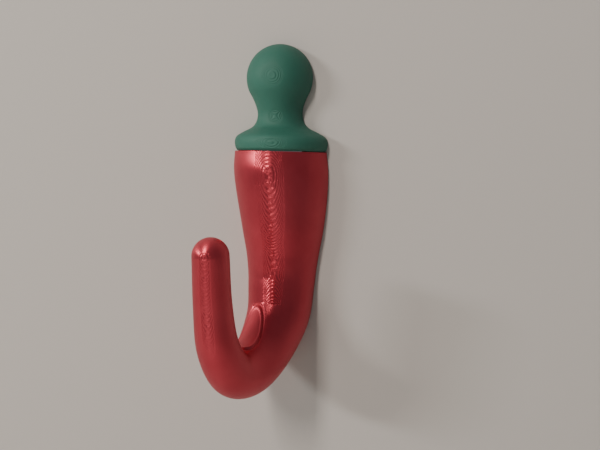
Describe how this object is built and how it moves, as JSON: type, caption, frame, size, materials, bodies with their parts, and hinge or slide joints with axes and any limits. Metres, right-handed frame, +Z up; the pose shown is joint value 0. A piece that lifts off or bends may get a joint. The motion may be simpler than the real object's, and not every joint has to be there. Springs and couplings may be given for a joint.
{
  "type": "wall hook",
  "caption": "Wall hook shaped like a chilli pepper: a tapering red body whose tail curls out and up into the hook, under a green ball-ended stem cap.",
  "frame": {"origin": "on the wall, at the middle of the outer face of the foam strip behind the pepper", "axes": "+Y into the wall, +Z up along the pepper towards its stem, +X to the right seen from in front of the wall"},
  "size_m": [0.0453, 0.0669, 0.1556],
  "materials": {
    "red_silk_plastic": "silk gloss printed PLA with fine layer lines parallel to the wall",
    "green_matte_plastic": "matte printed PLA with fine layer lines parallel to the wall",
    "foam_tape": "white closed-cell double-sided foam tape"
  },
  "bodies": {
    "root": {"pepper_body": "red_silk_plastic", "stem_cap": "green_matte_plastic", "pepper_tape": "foam_tape", "cap_tape": "foam_tape"}
  },
  "joints": []
}
